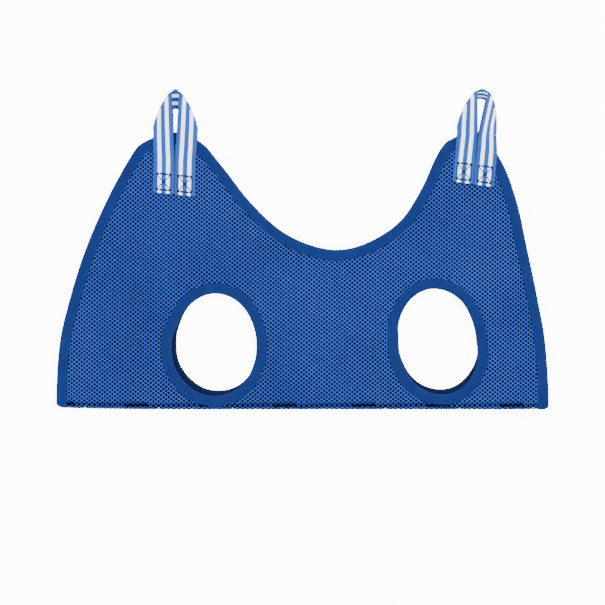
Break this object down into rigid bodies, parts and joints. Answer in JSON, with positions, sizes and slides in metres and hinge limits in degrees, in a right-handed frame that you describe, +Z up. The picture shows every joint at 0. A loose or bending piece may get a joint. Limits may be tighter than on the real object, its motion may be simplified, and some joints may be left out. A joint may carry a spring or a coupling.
{
  "type": "mesh lifting sling",
  "caption": "Folded spacer-mesh lifting sling with bound edges, oval leg holes and a striped webbing loop sewn to each ear.",
  "frame": {"origin": "centre of the bottom of the folded sling's box", "axes": "+X along the fold, +Y from the fold to the ears, +Z up off the surface it lies on"},
  "size_m": [0.4688, 0.304, 0.0094],
  "materials": {
    "spacer_mesh": "open honeycomb knit, matte",
    "binding_tape": "smooth woven tape, slight sheen",
    "striped_webbing": "woven blue and white stripes",
    "sewing_thread": "dark twisted thread"
  },
  "bodies": {
    "back_panel": {"back_mesh": "spacer_mesh", "back_edge_binding": "binding_tape", "back_edge_seam": "sewing_thread", "back_left_leg_binding": "binding_tape", "back_left_leg_seam": "sewing_thread", "back_left_loop_ends": "striped_webbing", "back_left_loop_stitching": "sewing_thread", "back_right_leg_binding": "binding_tape", "back_right_leg_seam": "sewing_thread", "back_right_loop_ends": "striped_webbing", "back_right_loop_stitching": "sewing_thread", "fold_mesh": "spacer_mesh", "fold_binding_left": "binding_tape", "fold_binding_right": "binding_tape"},
    "front_panel": {"front_mesh": "spacer_mesh", "front_edge_binding": "binding_tape", "front_edge_seam": "sewing_thread", "front_left_leg_binding": "binding_tape", "front_left_leg_seam": "sewing_thread", "front_left_loop_ends": "striped_webbing", "front_left_loop_stitching": "sewing_thread", "front_right_leg_binding": "binding_tape", "front_right_leg_seam": "sewing_thread", "front_right_loop_ends": "striped_webbing", "front_right_loop_stitching": "sewing_thread"},
    "front_left_loop": {"front_left_loop": "striped_webbing"},
    "front_right_loop": {"front_right_loop": "striped_webbing"},
    "back_left_loop": {"back_left_loop": "striped_webbing"},
    "back_right_loop": {"back_right_loop": "striped_webbing"}
  },
  "joints": [
    {"name": "fold_open", "type": "hinge", "parent": "back_panel", "child": "front_panel", "pos_m": [0, -0.14914, 0.0047], "axis": [1, 0, 0], "range_deg": [0, 180], "deforming": ["fold_mesh", "fold_binding_left", "fold_binding_right"]},
    {"name": "front_left_loop_swing", "type": "hinge", "parent": "front_panel", "child": "front_left_loop", "pos_m": [-0.1219, 0.07366, 0.0094], "axis": [0.9998, -0.0192, 0], "range_deg": [0, 160]},
    {"name": "front_right_loop_swing", "type": "hinge", "parent": "front_panel", "child": "front_right_loop", "pos_m": [0.1645, 0.08316, 0.0094], "axis": [0.9957, -0.0924, 0], "range_deg": [0, 160]},
    {"name": "back_left_loop_swing", "type": "hinge", "parent": "back_panel", "child": "back_left_loop", "pos_m": [-0.1219, 0.07366, 0], "axis": [-0.9998, 0.0192, 0], "range_deg": [0, 160]},
    {"name": "back_right_loop_swing", "type": "hinge", "parent": "back_panel", "child": "back_right_loop", "pos_m": [0.1645, 0.08316, 0], "axis": [-0.9957, 0.0924, 0], "range_deg": [0, 160]}
  ]
}
